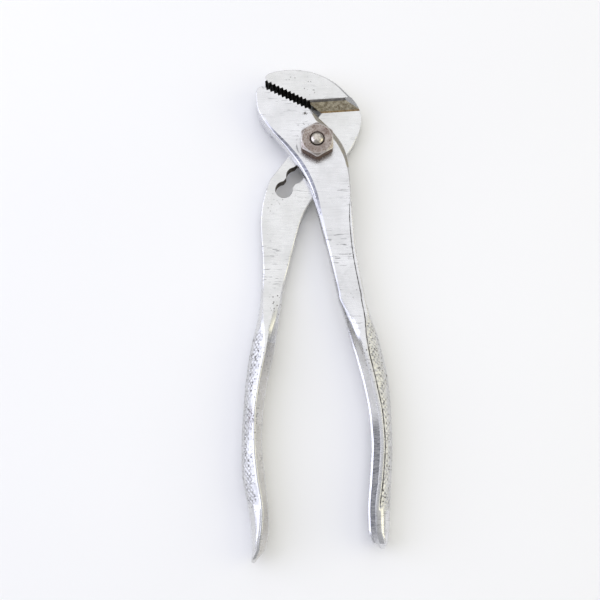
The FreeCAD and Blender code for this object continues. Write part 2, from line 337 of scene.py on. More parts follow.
def tube_faces(rings, around):
    """Quads of a tube of closed rings, ring after ring."""
    ring, step = np.meshgrid(np.arange(rings - 1), np.arange(around), indexing="ij")
    after = (step + 1) % around
    corners = [ring * around + step, ring * around + after]
    corners += [(ring + 1) * around + after, (ring + 1) * around + step]
    return np.stack(corners, -1).reshape(-1, 4)

def end_faces(first, around, flip):
    """Close a ring that is the same above and below its middle, by joining each point to its twin."""
    half = around // 2
    step = np.arange(1, half - 1)
    quads = np.stack([first + step, first + step + 1, first + around - step - 1, first + around - step], 1)
    tips = [[first, first + 1, first + around - 1], [first + half - 1, first + half, first + half + 1]]
    faces = quads.tolist() + tips
    return [face[::-1] for face in faces] if flip else faces

# %% Faces outward, and values kept in a mesh
def outward(piece):
    """Merge doubles and turn all faces outwards: a closed surface whose faces look out has a positive
    signed volume. A closed surface also has exactly two faces at each edge, and that is counted."""
    work = bmesh.new()
    work.from_mesh(piece.data)
    bmesh.ops.remove_doubles(work, verts=work.verts, dist=1e-7)
    bmesh.ops.recalc_face_normals(work, faces=work.faces)
    if work.calc_volume(signed=True) < 0:
        bmesh.ops.reverse_faces(work, faces=work.faces)
    volume = round(work.calc_volume() * MM**3)
    work.to_mesh(piece.data)
    work.free()
    edge_of_corner = np.empty(len(piece.data.loops), np.int32)
    piece.data.loops.foreach_get("edge_index", edge_of_corner)
    loose = np.count_nonzero(np.bincount(edge_of_corner, minlength=len(piece.data.edges)) != 2)
    print(piece.name, "open or doubled edges:", loose, "volume in mm3:", volume)

def keep_values(piece, domain, **values):
    """Keep numbers for each point or face, under names that a material can read."""
    for label, value in values.items():
        attribute = piece.data.attributes.new(label, "FLOAT", domain)
        attribute.data.foreach_set("value", value.reshape(-1).astype(np.float32))

# %% [markdown]
# ## Ribs of a whole half
# The head's ribs come from a short table of rows, each naming a point on both edges and how the edges
# are rounded there. Below the neck the ribs lie square across the arm and follow the grip's stations.
# The teeth are filed into the jaw on the real tool. They could be cut here too, but it is simpler to
# let the outer edge step in and out, with eight ribs to a tooth, so each rib carries its own depth.

# %% Teeth and ribs of the head
def soft_step(value, start, end):
    """Zero before the start, one past the end, and 3t^2 - 2t^3 of the share t between them."""
    t = np.clip((value - start) / (end - start), 0, 1)
    return t * t * (3 - 2 * t)

def tooth_wave(along):
    """Depth of the teeth at a distance along the jaw: a triangular wave, zero at the crests."""
    phase = np.mod((along - jaw_root) / tooth_pitch, 1.0)
    wave = tooth_depth * (1 - np.abs(2 * phase - 1))
    return np.where(along > jaw_root - 1e-6, wave, 0.0)

def rib_rows(rows, inner_line, outer_line, root):
    """Ribs of the head and neck: places on both edges, and the row values, all running evenly from row
    to row. Rows before the root of the jaw step by eighths of a tooth."""
    inner_at = np.array([place_on(inner_line, row[0]) for row in rows])
    outer_at = np.array([place_on(outer_line, row[1]) for row in rows])
    values = np.array([row[3:] for row in rows], float)
    parts = []
    for number, row in enumerate(rows[:-1]):
        if number < root:
            start, end = outer_at[number:number + 2]
            stops = outer_at[root] - np.arange(200, 0, -1) * tooth_pitch / 8
            stops = stops[(stops > start + 0.01) & (stops < end - 0.01)]
            share = np.concatenate([[0.0], (stops - start) / (end - start)])
        else:
            share = np.arange(row[2]) / row[2]
        parts.append(number + share)
    place = np.concatenate(parts + [[len(rows) - 1.0]])
    keys = np.arange(len(rows))
    inner = walk(inner_line, np.interp(place, keys, inner_at))
    outer = walk(outer_line, np.interp(place, keys, outer_at))
    columns = np.stack([np.interp(place, keys, values[:, n]) for n in range(values.shape[1])], 1)
    return inner, outer, columns

# %% Ribs of the arm, and all the ribs of a half
plain_step, checkered_step, end_step = 0.55, 0.235, 0.4
tip_length = 2.2

def arm_places(form):
    """Distances down the arm: fine steps where it is checkered, and ever finer ones round the tip."""
    start, end = form.checkered
    tip_start = form.reach - tip_length
    tip = form.reach - tip_length * (1 - np.sin(np.linspace(0, np.pi / 2, 12)))
    return np.concatenate([np.arange(form.stations[0][0] * form.reach, start, plain_step),
                           np.arange(start, end, checkered_step), np.arange(end, tip_start, end_step), tip])

def whole_ribs(form):
    """Head ribs and arm ribs in one table. The tip closes as a quarter circle does."""
    inner, outer, columns = rib_rows(form.rows, form.inner_line, form.outer_line, form.root)
    along, up = outer @ along_jaw(1, 0), outer @ along_jaw(0, 1)
    on_jaw = np.abs(up - form.tooth_line) < 0.02
    wave = form.tooth_way * np.where(on_jaw, tooth_wave(along), 0.0)
    outer = outer + along_jaw(0, 1) * wave[:, None]
    toothed = on_jaw & (along > jaw_root - 0.01)

    down = arm_places(form)
    centre, width, formed, depth, lean = eased(form.stations, down / form.reach).T
    into_tip = ((down - (form.reach - tip_length)) / tip_length).clip(0, 1)
    tip = np.sqrt(np.clip(1 - into_tip ** 2, 0.0004, 1))
    tip_half = width / 2 * tip
    inner = np.vstack([inner[:-1], np.stack([form.side * (centre - tip_half), -down], 1)])
    outer = np.vstack([outer[:-1], np.stack([form.side * (centre + tip_half), -down], 1)])
    columns = np.vstack([columns[:-1], np.repeat(columns[-1:], len(down), axis=0)])
    flat = np.zeros(len(inner) - len(down))
    names = ("inner_width", "inner_depth", "facet", "outer_width", "outer_depth", "ledge", "top", "bottom")
    return SimpleNamespace(
        inner=inner, outer=outer, **dict(zip(names, columns.T)),
        toothed=np.concatenate([toothed[:-1], np.zeros(len(down), bool)]),
        formed=np.concatenate([flat, formed]), depth=np.concatenate([flat + 1, depth * tip]),
        lean=np.concatenate([flat, lean]), down=-(inner[:, 1] + outer[:, 1]) / 2,
        half=np.maximum(np.linalg.norm(outer - inner, axis=1) / 2, 0.01))

# %% The sections on the ribs
plain_edge = 0.4
ridge_edge = 2.3
groove_end = (133.5, 136.5)

def sections(form, ribs):
    """Across the rib and above its middle, for every point. The upper side blends the full bar with
    the ridge, and the lower side a plain bar with the same ridge, turned over. The height also moves
    over from the bar's own layer to the lap plane, where the grip has its middle."""
    half, formed = ribs.half, ribs.formed[:, None]
    risen = soft_step(ribs.down / form.reach, *form.rise)
    middle = (ribs.top + ribs.bottom) / 2 * (1 - risen) + lap_plane * risen
    tall = (ribs.top - ribs.bottom) / 2
    groove = form.groove_depth * (1 - soft_step(ribs.down, *groove_end))
    ridge = ridge_corners(half, grip_half_depth * ribs.depth, ridge_edge * ribs.depth, -ribs.lean * 2 * half,
                          np.minimum(form.crest_width, 0.25 * 2 * half), groove, form.rim)
    full = bar_corners(half, tall, ribs.inner_width, ribs.inner_depth, ribs.facet,
                       ribs.outer_width, ribs.outer_depth, ribs.ledge)
    edge, none = np.full_like(half, plain_edge), 0 * half
    plain = bar_corners(half, tall, edge, edge, none, edge, edge, none)
    sides = []
    for mix, up, under, over in zip((formed, risen[:, None]), full, plain, ridge):
        upper = filled(up * (1 - mix) + over * mix, span_steps)
        lower = filled((under * (1 - mix) + over * mix)[:, ::-1], span_steps[::-1])
        sides.append((upper, lower))
    across = np.concatenate(sides[0], axis=1)
    height = np.concatenate([sides[1][0], -sides[1][1]], axis=1)
    return across, height, middle

# %% [markdown]
# ## Checkering
# The grips were forged or rolled with a pattern of small diamonds, so that an oily hand holds them.
# A bump texture would draw it cheaply, but it would vanish at the outline and in an exported mesh.
# So the points themselves are pressed in along two crossing families of grooves. Long use has worn
# the pattern away in patches, and slow waves that run over the arm make such patches.

# %% How deep the checkering lies at each point
pitch_along, pitch_around, groove_share = 1.9, 1.75, 0.24
checkering_depth = 0.21

def checkering(along, around):
    """Two crossing families of fine grooves. Returns how deep each point lies, 0 to 2."""
    depth = 0.0
    for lean in (1, -1):
        phase = np.mod(along / pitch_along + lean * around / pitch_around, 1.0)
        off = np.minimum(phase, 1 - phase)
        depth = depth + np.clip(1 - off / groove_share, 0, 1)
    return depth

def worn_patches(down, around):
    """How much of the checkering is left: products of sines whose phases lean on each other."""
    wander = np.sin(0.83 * down + 1.9 * np.sin(0.37 * down)) * np.sin(1.1 * around + 0.9 * down)
    wander = wander + 0.6 * np.sin(2.3 * down + 1.3 * around) * np.sin(1.7 * down - 2.1 * around)
    return np.clip(0.74 + 0.40 * wander, 0.30, 1)

def checkered_share(form, down):
    """One where the arm is checkered, easing to zero at both ends."""
    start, end = form.checkered
    return soft_step(down, start, start + 5) * (1 - soft_step(down, end - 1.5, end))

def pressed_depth(form, across, height, down):
    """Checkering over the outer side, laid out by distance round the section from its outer middle and
    by distance down the arm. It fades in past the crest."""
    step = np.hypot(np.diff(across, axis=1), np.diff(height, axis=1))
    travelled = np.concatenate([np.zeros((len(step), 1)), np.cumsum(step, axis=1)], axis=1)
    around = travelled - travelled[:, outer_middle, None]
    from_crest = np.abs(travelled - travelled[:, corner_starts[panel_corner], None])
    from_crest = np.where(point_number <= outer_middle, from_crest, 9.0)
    left = worn_patches(down, around) * soft_step(from_crest, *form.fade_in)
    on_panel = span_of_point >= panel_corner
    return checkering(down, around) * checkered_share(form, down) * on_panel * left

def inward(across, height):
    """Unit directions into the metal, square to the line between a point's two neighbours."""
    following = np.roll(across, -1, 1) - np.roll(across, 1, 1)
    climbing = np.roll(height, -1, 1) - np.roll(height, 1, 1)
    length = np.hypot(following, climbing) + 1e-9
    return climbing / length, -following / length

# %% [markdown]
# ## The skin and what is kept on it
# The skin is one closed mesh: section after section, and a flat face at each end. Dirt lies in the
# groove and between the diamonds, and one edge has a tan stain. Facets and the neck's flank carry
# painted shade that stands in for dark reflections, streaked across like grinding, and the rear grip's
# inner facet carries a tan painted warm reflection. A painted picture could say where, but it would
# need an unwrapped mesh. Here every point and face keeps its own numbers instead, and the finish reads
# them by name.

# %% Values kept for the finish
# places of the finishes in the list that both halves and their cutters carry
PLATE, TEETH, SLOT, FOOT, WALL, ROLLED = range(6)
groove_dirt_end = (134, 136)

def point_values(form, ribs, pressed):
    """Dirt in the grooves and diamonds, and where the checkered panel is."""
    in_groove = (twin_above > corner_starts[groove_corner]) & (twin_above < corner_starts[panel_corner])
    run = np.clip(ribs.ledge / 0.6 + ribs.formed, 0, 1) * (1 - soft_step(ribs.down, *groove_dirt_end))
    groove = in_groove[None] * run[:, None]
    pits = np.clip(1.8 * (pressed - 0.66), 0, 1)
    dirt = np.clip(pits + form.groove_dirt * groove * (ribs.depth[:, None] > 0.9), 0, 1)
    beyond = twin_above >= corner_starts[panel_corner]
    panel = beyond[None] * checkered_share(form, ribs.down)[:, None]
    return {"dirt": dirt, "panel": np.clip(panel, 0, 1)}

def face_values(form, ribs):
    """Tone: painted shade on facets and on the neck's flank, standing in for dark reflections. Stain: a
    real tan stain on the outer bevel, and on the grip's inner facet a painted warm reflection.
    """
    down, above = ribs.down[:, None], point_number < outer_middle
    bar = (ribs.facet * (ribs.formed < 0.1))[:, None]
    tone = np.isin(span_of_point, bar_facet) * above * bar
    on_facet = np.isin(span_of_point, ridge_facet) * (ribs.formed > 0.9).astype(float)[:, None]
    # painted shade on the grip's inner facet over a stretch of the arm, where the metal mirrors something dark
    start, end = form.dark_facet
    shaded_stretch = soft_step(down, start, start + 9) * (1 - soft_step(down, end, end + 12))
    # painted shade on the neck's flank, dimming a bright reflection there
    neck = soft_step(down, 44, 56) * (1 - soft_step(down, 64, 78))
    flank = np.isin(span_of_point, neck_flank) * above * neck
    outer = np.isin(span_of_point, bar_outer_facet) * above * (ribs.facet * (ribs.outer_width > 0.9))[:, None]
    # tone is painted shade; stain is a real tan stain on the outer bevel and a painted warm reflection on the
    # inner facet
    return {"tone": tone + on_facet * shaded_stretch * form.dark_facet_depth + flank * form.dark_neck,
            "stain": outer + on_facet * form.facet_stain}

# %% The skin of a half
def half_skin(name, form):
    """On each rib the section's across values run along the rib, and its heights stand on the rib's
    middle height, less the checkering's depth along the section's inward direction."""
    ribs = whole_ribs(form)
    across, height, middle = sections(form, ribs)
    pressed = pressed_depth(form, across, height, ribs.down[:, None])
    in_q, in_h = inward(across, height)
    across = across + in_q * checkering_depth * pressed
    height = height + in_h * checkering_depth * pressed
    direction = (ribs.outer - ribs.inner) / (2 * ribs.half)[:, None]
    plan = ((ribs.outer + ribs.inner) / 2)[:, None] + direction[:, None] * across[:, :, None]
    points = np.concatenate([plan, (middle[:, None] + height)[:, :, None]], axis=2)

    rings, around = across.shape
    last = (rings - 1) * around
    faces = tube_faces(rings, around).tolist()
    faces += end_faces(0, around, form.side > 0) + end_faces(last, around, form.side < 0)
    piece = mesh_piece(name, points.reshape(-1, 3), faces)
    keep_values(piece, "POINT", **point_values(form, ribs, pressed))
    ends = np.zeros(len(faces) - last)
    keep_values(piece, "FACE", **{label: np.concatenate([np.clip(value[:-1], 0, 1).reshape(-1), ends])
                                  for label, value in face_values(form, ribs).items()})
    # the tooth flanks take the near-black finish: dirt, and painted shade of the deep gap between the jaws
    dark = ribs.toothed[:-1, None] & (span_of_point >= tooth_flank_corner)
    finish = np.where(np.concatenate([dark.reshape(-1), ends]), TEETH, PLATE).astype(np.int32)
    piece.data.polygons.foreach_set("material_index", finish)
    print(name, rings, "ribs of", around, "points,", 2 * len(faces), "triangles")
    return piece

# %% [markdown]
# ## The front half
# It carries the lower jaw, crosses over the rear half as the upper lap, and runs down to the right
# grip. On its left flank the top edge is ground to a steep facet, and on its right flank a thin groove
# sets off a ledge that leads into the checkered side of the grip.

# %% Edges of the front half
front_nose = along_jaw(jaw_tip, front_tooth_line)
front_root = along_jaw(jaw_root, front_tooth_line)
chin = [at_angle(*pair) for pair in ((135.3, 0.943), (141.9, 0.878), (149.3, 0.775), (154.2, 0.690))]
neck_left = [(-15.2, 2.2), (-9.5, -5.0), (-5.3, -11.8), (-1.9, -19.8), (0.4, -28.5), (4.4, -45.2)]
neck_right = [(1.2, 10.1), (7.6, 3.2), (10.9, -3.2), (12.3, -12.7), (13.0, -24.5), (13.9, -38.0)]
front_ends = [(7.35, -0.39 * front_arm), (17.25, -0.39 * front_arm)]
front_inner = flowing_line([front_nose] + chin + neck_left + front_ends[:1])
front_outer = joined(straight_line(front_nose, front_root, 200),
                     flowing_line([front_root] + neck_right + front_ends[1:]))

print("front edges:", len(front_inner), "and", len(front_outer), "points")

# %% Rows and form of the front half
# Each row: inner point, outer point, ribs to the next row, width and depth of the inner edge, how far
# it is a flat facet, width and depth of the outer edge, ledge, top, bottom
high, low, lap_up = top_face, plate_bottom, lap_plane + lap_gap
mid_jaw = along_jaw(jaw_root + 8 * tooth_pitch, front_tooth_line)
front_rows = [
    (front_nose, front_nose, 0, 0.25, 0.25, 0, 0.10, 0.10, 0, high, low),
    (chin[2], mid_jaw, 0, 0.35, 0.40, 0, 0.12, 0.12, 0, high, low),
    ((-16.2, 3.5), front_root, 8, 1.20, 1.40, 0.9, 0.22, 0.20, 0.0, high, low),
    ((-14.0, 0.7), (1.2, 10.1), 10, 1.60, 1.80, 1, 1.90, 1.50, 0, high, low),
    ((-11.8, -2.1), neck_right[1], 14, 1.90, 2.10, 1, 2.30, 1.60, 0, high, low),
    ((-8.4, -6.6), neck_right[2], 12, 2.20, 2.40, 1, 1.70, 1.20, 0, high, lap_up),
    (neck_left[2], neck_right[3], 12, 2.40, 2.60, 1, 0.45, 0.50, 0, high, lap_up),
    (neck_left[3], (12.8, -20.2), 8, 2.00, 2.60, 0.9, 0.40, 0.50, 0, high, lap_up),
    ((-0.6, -24.0), (13.0, -24.5), 8, 1.70, 2.40, 0.7, 0.40, 0.50, 0.9, high, lap_up),
    (neck_left[4], (13.2, -28.5), 22, 1.50, 2.20, 0.4, 0.40, 0.50, 1.3, high, lap_up),
    (neck_left[5], (14.9, -45.2), 18, 1.40, 2.10, 0, 0.40, 0.50, 1.5, high, lap_up),
    (front_ends[0], front_ends[1], 0, 1.20, 1.90, 0, 0.40, 0.50, 1.5, high, lap_up),
]
# the form gives the stretch and strength of painted shade on the grip's inner facet, and the strength of
# painted shade on the neck's flank
front_form = SimpleNamespace(
    rows=front_rows, inner_line=front_inner, outer_line=front_outer, root=2, stations=front_stations,
    side=1, reach=front_arm, tooth_line=front_tooth_line, tooth_way=-1, rise=(0.40, 0.54),
    checkered=(66.0, 136.5), fade_in=(-0.3, 0.7), crest_width=0.75, groove_depth=0.6, rim=0.72,
    groove_dirt=0.9, dark_facet=(100.0, 140.0), dark_facet_depth=1.0, facet_stain=0.0, dark_neck=0.35)
front_half = half_skin("front_half_forging", front_form)

# %% [markdown]
# ## The rear half
# It carries the upper jaw, steps down to the lower lap under the nut, holds the slot, and runs down to
# the left grip. The back of the head is one long rounded edge.

# %% Edges of the rear half
rear_nose = along_jaw(jaw_tip, rear_tooth_line)
rear_root = along_jaw(jaw_root, rear_tooth_line)
jaw_low = along_jaw(0, rear_tooth_line)
edge_top = along_slot(0, rear_edge_left)
edge_end = along_slot(slot_travel, rear_edge_left)
legs = np.stack([rear_nose - jaw_low, -(edge_end - edge_top)], axis=1)
foot = jaw_low + (rear_nose - jaw_low) * np.linalg.solve(legs, edge_top - jaw_low)[0]
back_pairs = [(-4.5, 0.379), (4.1, 0.414), (15.6, 0.476), (23.4, 0.532), (31.6, 0.597), (42.0, 0.666),
              (55.1, 0.682), (68.6, 0.732), (85.8, 0.818), (102.2, 0.905), (117.0, 0.979),
              (122.2, 1.0), (125.6, 0.997)]
head_back = [at_angle(*pair) for pair in back_pairs][::-1]
shoulder = along_slot(-4.8, -rear_edge_right)
right_bends = [along_slot(18.0, -rear_edge_right), along_slot(23.7, -11.5), along_slot(30.8, -13.8)]
left_bends = [along_slot(25.0, 5.5), (-21.2, -0.188 * rear_arm), (-20.5, -0.286 * rear_arm)]
rear_ends = [(-13.1, -0.377 * rear_arm), (-20.9, -0.377 * rear_arm)]
rear_inner = joined(flowing_line([rear_nose] + head_back + [shoulder]),
                    straight_line(shoulder, right_bends[0]),
                    flowing_line(right_bends + [(-10.3, -0.295 * rear_arm), rear_ends[0]]))
rear_outer = joined(straight_line(rear_nose, rear_root, 200), straight_line(rear_root, foot),
                    straight_line(foot, edge_end, 120),
                    flowing_line([edge_end] + left_bends + rear_ends[1:]))
print("foot of the step", foot)

# %% Rows and form of the rear half
lap_down = lap_plane - lap_gap
rear_rows = [
    (rear_nose, rear_nose, 0, 0.25, 0.25, 0, 0.10, 0.10, 0, high, low),
    (head_back[4], rear_root, 24, 0.50, 0.50, 0, 0.12, 0.12, 0, high, low),
    (head_back[7], foot, 12, 1.30, 1.10, 0.7, 0.12, 0.12, 0, high, low),
    (head_back[10], edge_top, 10, 0.35, 0.35, 0, 0.25, 0.25, 0, lap_down, low),
    (shoulder, along_slot(8, rear_edge_left), 10, 0.35, 0.35, 0, 0.35, 0.35, 0, lap_down, low),
    (along_slot(14, -rear_edge_right), edge_end, 10, 0.45, 0.45, 0, 0.35, 0.35, 0, lap_down, low),
    (right_bends[1], (-20.7, -24.5), 12, 0.55, 0.55, 0, 0.40, 0.45, 0, lap_down, low),
    (right_bends[2], (-21.2, -33.0), 14, 0.60, 0.60, 0, 0.45, 0.50, 0, lap_down, low),
    ((-9.9, -44.0), left_bends[2], 18, 0.60, 0.60, 0, 0.60, 0.80, 0, lap_down, low),
    (rear_ends[0], rear_ends[1], 0, 0.60, 0.60, 0, 0.80, 1.20, 0, lap_down, low),
]
# the rear grip's inner facet gets a tan painted warm reflection, and weaker painted shade
rear_form = SimpleNamespace(
    rows=rear_rows, inner_line=rear_inner, outer_line=rear_outer, root=1, stations=rear_stations,
    side=-1, reach=rear_arm, tooth_line=rear_tooth_line, tooth_way=1, rise=(0.29, 0.55),
    checkered=(70.0, 134.5), fade_in=(0.4, 2.0), crest_width=0.40, groove_depth=0.12, rim=0.22,
    groove_dirt=0.0, dark_facet=(128.0, 140.0), dark_facet_depth=0.5, facet_stain=0.45, dark_neck=0.0)
rear_half = half_skin("rear_half_forging", rear_form)

# %% [markdown]
# ## Cutting the laps, the bore, the step and the slot
# The real halves are milled where they lap over each other, and the slot is punched. The same is done
# here: closed cutters made from outlines take the metal away with exact booleans, and the cut faces
# keep the cutter's own finish, because those walls are where the dirt stays. Modelling the recesses
# in the skin itself would need ribs that follow every one of them.

# %% Closed cutters from two rings of points
def cutter_between(name, first, second):
    """A closed solid: two rings with as many points, joined by walls and closed by two flat faces."""
    count = len(first)
    step = np.arange(count)
    after = (step + 1) % count
    walls = np.stack([step, after, after + count, step + count], 1)
    piece = mesh_piece(name, np.vstack([first, second]),
                       walls.tolist() + [step.tolist(), (step + count).tolist()])
    outward(piece)
    return piece

def prism(name, outline, bottom, top):
    """The outline at two heights."""
    outline = np.asarray(outline, float)
    rings = [np.column_stack([outline, np.full(len(outline), height)]) for height in (bottom, top)]
    return cutter_between(name, *rings)

def circle(radius, count=96):
    """Points round the pivot at one radius, evenly spaced in angle."""
    turn = np.arange(count) / count * 2 * np.pi
    return radius * np.column_stack([np.cos(turn), np.sin(turn)])

def slot_outline(sharpness=7.0):
    """Half width along the slot: the larger of the lobes' circles and the neck, eased into each other
    where they meet. The outline runs out along one side and back along the other."""
    lobe, neck = bore_radius, slot_neck_half
    end = slot_travel + lobe
    middle = (end - lobe) / 2
    along = middle - (middle + lobe) * np.cos(np.linspace(0, np.pi, 420))
    lobes = np.arange(slot_positions)[:, None] * slot_pitch
    rounds = np.sqrt(np.clip(lobe**2 - (along - lobes) ** 2, 0, None)).max(0)
    inside = (along > 0) & (along < slot_travel)
    eased_width = np.log(np.exp(sharpness * rounds) + np.exp(sharpness * neck)) / sharpness
    width = np.where(inside, eased_width, rounds)
    sides = [np.column_stack([along, width]), np.column_stack([along, -width])[::-1][1:-1]]
    return np.vstack(sides) @ np.stack([along_slot(1, 0), along_slot(0, 1)])

slot_cutter = prism("slot_cutter", slot_outline(), plate_bottom - 2, lap_plane + 1)
bore_cutter = prism("bore_cutter", circle(bore_radius), lap_plane - 1, top_face + 1)

# %% The milled step of the rear half: a sloping wall whose top edge is slightly rolled
overlap = 0.02
step_profile = np.array([(0.0, 0.0), (0.25, 0.12), (0.55, 0.42), (2.95, 4.15), (3.1, 4.36), (3.4, 4.68),
                         (3.9, 4.86), (3.9, 9.0), (-18.0, 9.0), (-18.0, 0.0)])

def step_cutter(left=-14.0, right=30.0):
    """The wall's profile rises from the foot line; the cutter runs along the foot line."""
    line = np.array([np.cos(step_turn), np.sin(step_turn)])
    back = np.array([-np.sin(step_turn), np.cos(step_turn)])
    rings = [np.column_stack([foot + line * reach + step_profile[:, :1] * back,
                              lap_plane - overlap + step_profile[:, 1]]) for reach in (left, right)]
    return cutter_between("step_cutter", *rings)

wedge_cutter = step_cutter()

# %% The corner of the step: a flat, where the sloping wall would meet the back of the head
def corner_cutter(height=4.0, reach=8.0):
    """A slanting plane through three points of the flat, with all that stands above it."""
    top_left, top_right = np.array([(10.56, 18.1), (12.9, 19.1)])
    top_left, top_right = [np.append(point, top_face + overlap) for point in (top_left, top_right)]
    foot_left = np.array([15.4, 14.55, lap_plane])
    out = reach * (top_right - top_left) / np.linalg.norm(top_right - top_left)
    plane = np.array([top_left, foot_left, foot_left + out, top_left + out])
    above = plane.copy()
    above[:, 2] = top_face + height
    return cutter_between("corner_cutter", plane, above)

chip_cutter = corner_cutter()

# %% Relief: the lower jaw is deep only where it clears the rear half
jaw_corner = along_slot(-3.29, 7.05)
jaw_upper = along_slot(-11.45, 7.75)
relief_outline = [jaw_corner, jaw_upper, along_jaw(jaw_root, 60), (60, 60), (60, -44), (-60, -44), (-60, 3.35)]
relief_cutter = prism("relief_cutter", relief_outline, -1.0, lap_plane + lap_gap - overlap)

# %% [markdown]
# ## Finishes
# Old nickel plate over steel is bright but not a mirror: grinding marks run across the arms, the shine
# varies in clouds, and dirt sits in every recess. One recipe makes the plate; its numbers change for
# each piece. Steel that has lost its plate is darker and browner, and gets its own recipe.

# %% Node helpers
def put(tree, kind, sockets=(), **settings):
    """Add a node, set its options, and link or fill its sockets."""
    node = tree.nodes.new(kind)
    for name, value in settings.items():
        setattr(node, name, value)
    for name, value in dict(sockets).items():
        if isinstance(value, bpy.types.NodeSocket):
            tree.links.new(value, node.inputs[name])
        else:
            node.inputs[name].default_value = value
    return node

def start_material(name):
    """An empty node material, and its tree."""
    material = bpy.data.materials.new(name)
    material.use_nodes = True
    material.node_tree.nodes.clear()
    return material, material.node_tree

def in_mm(tree, scale=(1, 1, 1), rotation=0.0, shift=(0, 0, 0)):
    """Object coordinates turned into millimetres, stretched by the scale and turned in the plan."""
    where = put(tree, "ShaderNodeTexCoord")
    size = [MM * value for value in scale]
    mapping = put(tree, "ShaderNodeMapping", {"Vector": where.outputs["Object"], "Scale": size,
                                             "Rotation": (0, 0, rotation), "Location": shift})
    return mapping.outputs["Vector"]

# %% Noise, ranges and layers
def noise(tree, vector, scale, detail=3.0, roughness=0.55):
    """Soft random values from 0 to 1, with the scale in waves per millimetre."""
    return put(tree, "ShaderNodeTexNoise", {"Vector": vector, "Scale": scale, "Detail": detail,
                                            "Roughness": roughness}).outputs["Fac"]

def ranged(tree, value, low, high, to_low=0.0, to_high=1.0):
    """Stretch a value from one range to another, and clamp it."""
    return put(tree, "ShaderNodeMapRange", {"Value": value, "From Min": low, "From Max": high,
                                            "To Min": to_low, "To Max": to_high}).outputs["Result"]

def sums(tree, operation, first, second):
    """One of the math node's operations on two values."""
    node = put(tree, "ShaderNodeMath", {0: first, 1: second}, operation=operation)
    return node.outputs["Value"]

def times(tree, first, second):
    """The product of two values."""
    return sums(tree, "MULTIPLY", first, second)

def layered(tree, share, under, over):
    """Colour of one coat over another by a share."""
    node = tree.nodes.new("ShaderNodeMix")
    node.data_type = "RGBA"
    tree.links.new(share, node.inputs["Factor"])
    for socket, value in ((node.inputs["A"], under), (node.inputs["B"], over)):
        if isinstance(value, bpy.types.NodeSocket):
            tree.links.new(value, socket)
        else:
            socket.default_value = (*value, 1.0)
    return node.outputs["Result"]

# %% Places on the tool, and values kept in the mesh
def near(tree, centre, radii):
    """One at a place on the tool, falling to zero at the radii round it, all in millimetres."""
    where = put(tree, "ShaderNodeTexCoord")
    mapping = put(tree, "ShaderNodeMapping", {"Vector": where.outputs["Object"],
                                             "Scale": [MM / radius for radius in radii],
                                             "Location": [-c / r for c, r in zip(centre, radii)]})
    return put(tree, "ShaderNodeTexGradient", {"Vector": mapping.outputs["Vector"]},
               gradient_type="SPHERICAL").outputs["Fac"]

def most(tree, first, second):
    """The larger of two values."""
    return sums(tree, "MAXIMUM", first, second)

def added(tree, first, second):
    """The sum of two values."""
    return sums(tree, "ADD", first, second)

def marked(tree, marks, kind):
    """The strongest of the marks of one kind, or nothing."""
    value = 0.0
    for label, centre, radii in marks:
        if label == kind:
            value = most(tree, near(tree, centre, radii), value)
    return value

def stored(tree, name):
    """A value that the mesh keeps for its points or faces."""
    return put(tree, "ShaderNodeAttribute", attribute_name=name).outputs["Fac"]

def finished(tree, shade, metal, rough, bumps, distance, strength):
    """The surface itself: colour, metal, roughness and a fine bump."""
    bump = put(tree, "ShaderNodeBump", {"Height": bumps, "Distance": distance, "Strength": strength})
    surface = put(tree, "ShaderNodeBsdfPrincipled", {"Base Color": shade, "Metallic": metal, "Roughness": rough,
                                                     "Normal": bump.outputs["Normal"]})
    put(tree, "ShaderNodeOutputMaterial", {"Surface": surface.outputs["BSDF"]})

# %% Marks and dirt on the plate
def scratches_and_pits(tree, plain, marks):
    """Nicks are thresholded noise stretched across the arm, and pits are the middles of Voronoi cells.
    Both show in a few clouded fields and at the marks."""
    nicks = noise(tree, in_mm(tree, (0.20, 1.5, 0.2), 0.06), 1.0, 2.0)
    fields = ranged(tree, noise(tree, in_mm(tree, shift=(9, 4, 1)), 0.085, 1.0), 0.52, 0.62, 0.0, 0.5)
    fields = most(tree, fields, ranged(tree, marked(tree, marks, "scratches"), 0.05, 0.5))
    nick = times(tree, ranged(tree, nicks, 0.60, 0.66), fields)
    cells = put(tree, "ShaderNodeTexVoronoi", {"Vector": plain, "Scale": 0.8}, feature="F1")
    fields = ranged(tree, noise(tree, in_mm(tree, shift=(3, 7, 2)), 0.11, 2.0), 0.56, 0.64, 0.0, 0.6)
    fields = most(tree, fields, ranged(tree, marked(tree, marks, "pits"), 0.1, 0.5))
    return nick, times(tree, ranged(tree, cells.outputs["Distance"], 0.26, 0.14), fields)

def ring_marks(tree, mottle, radius, centre, radii):
    """Dark arcs near one radius from the pivot, and only round a place."""
    flat = in_mm(tree, (1, 1, 0))
    from_pivot = put(tree, "ShaderNodeVectorMath", {0: flat}, operation="LENGTH").outputs["Value"]
    off = sums(tree, "ABSOLUTE", sums(tree, "SUBTRACT", from_pivot, radius), 0.0)
    arcs = times(tree, ranged(tree, off, 0.40, 0.05), ranged(tree, mottle, 0.44, 0.60, 0.0, 0.6))
    return times(tree, arcs, ranged(tree, near(tree, centre, radii), 0.0, 0.35))

def plate_dirt(tree, marks, pit, specks, mottle, fine):
    """Dirt where the mesh keeps it, in specks and pits, and darker round the marks of dark spots."""
    settled = times(tree, stored(tree, "dirt"), ranged(tree, mottle, 0.42, 0.60, 0.12, 1.0))
    settled = most(tree, settled, times(tree, specks, 0.8))
    spot_darkening = added(tree, marked(tree, marks, "dark_spot"), ranged(tree, fine, 0.3, 0.7, -0.5, 0.3))
    return most(tree, most(tree, settled, times(tree, pit, 0.85)), ranged(tree, spot_darkening, 0.35, 0.6))

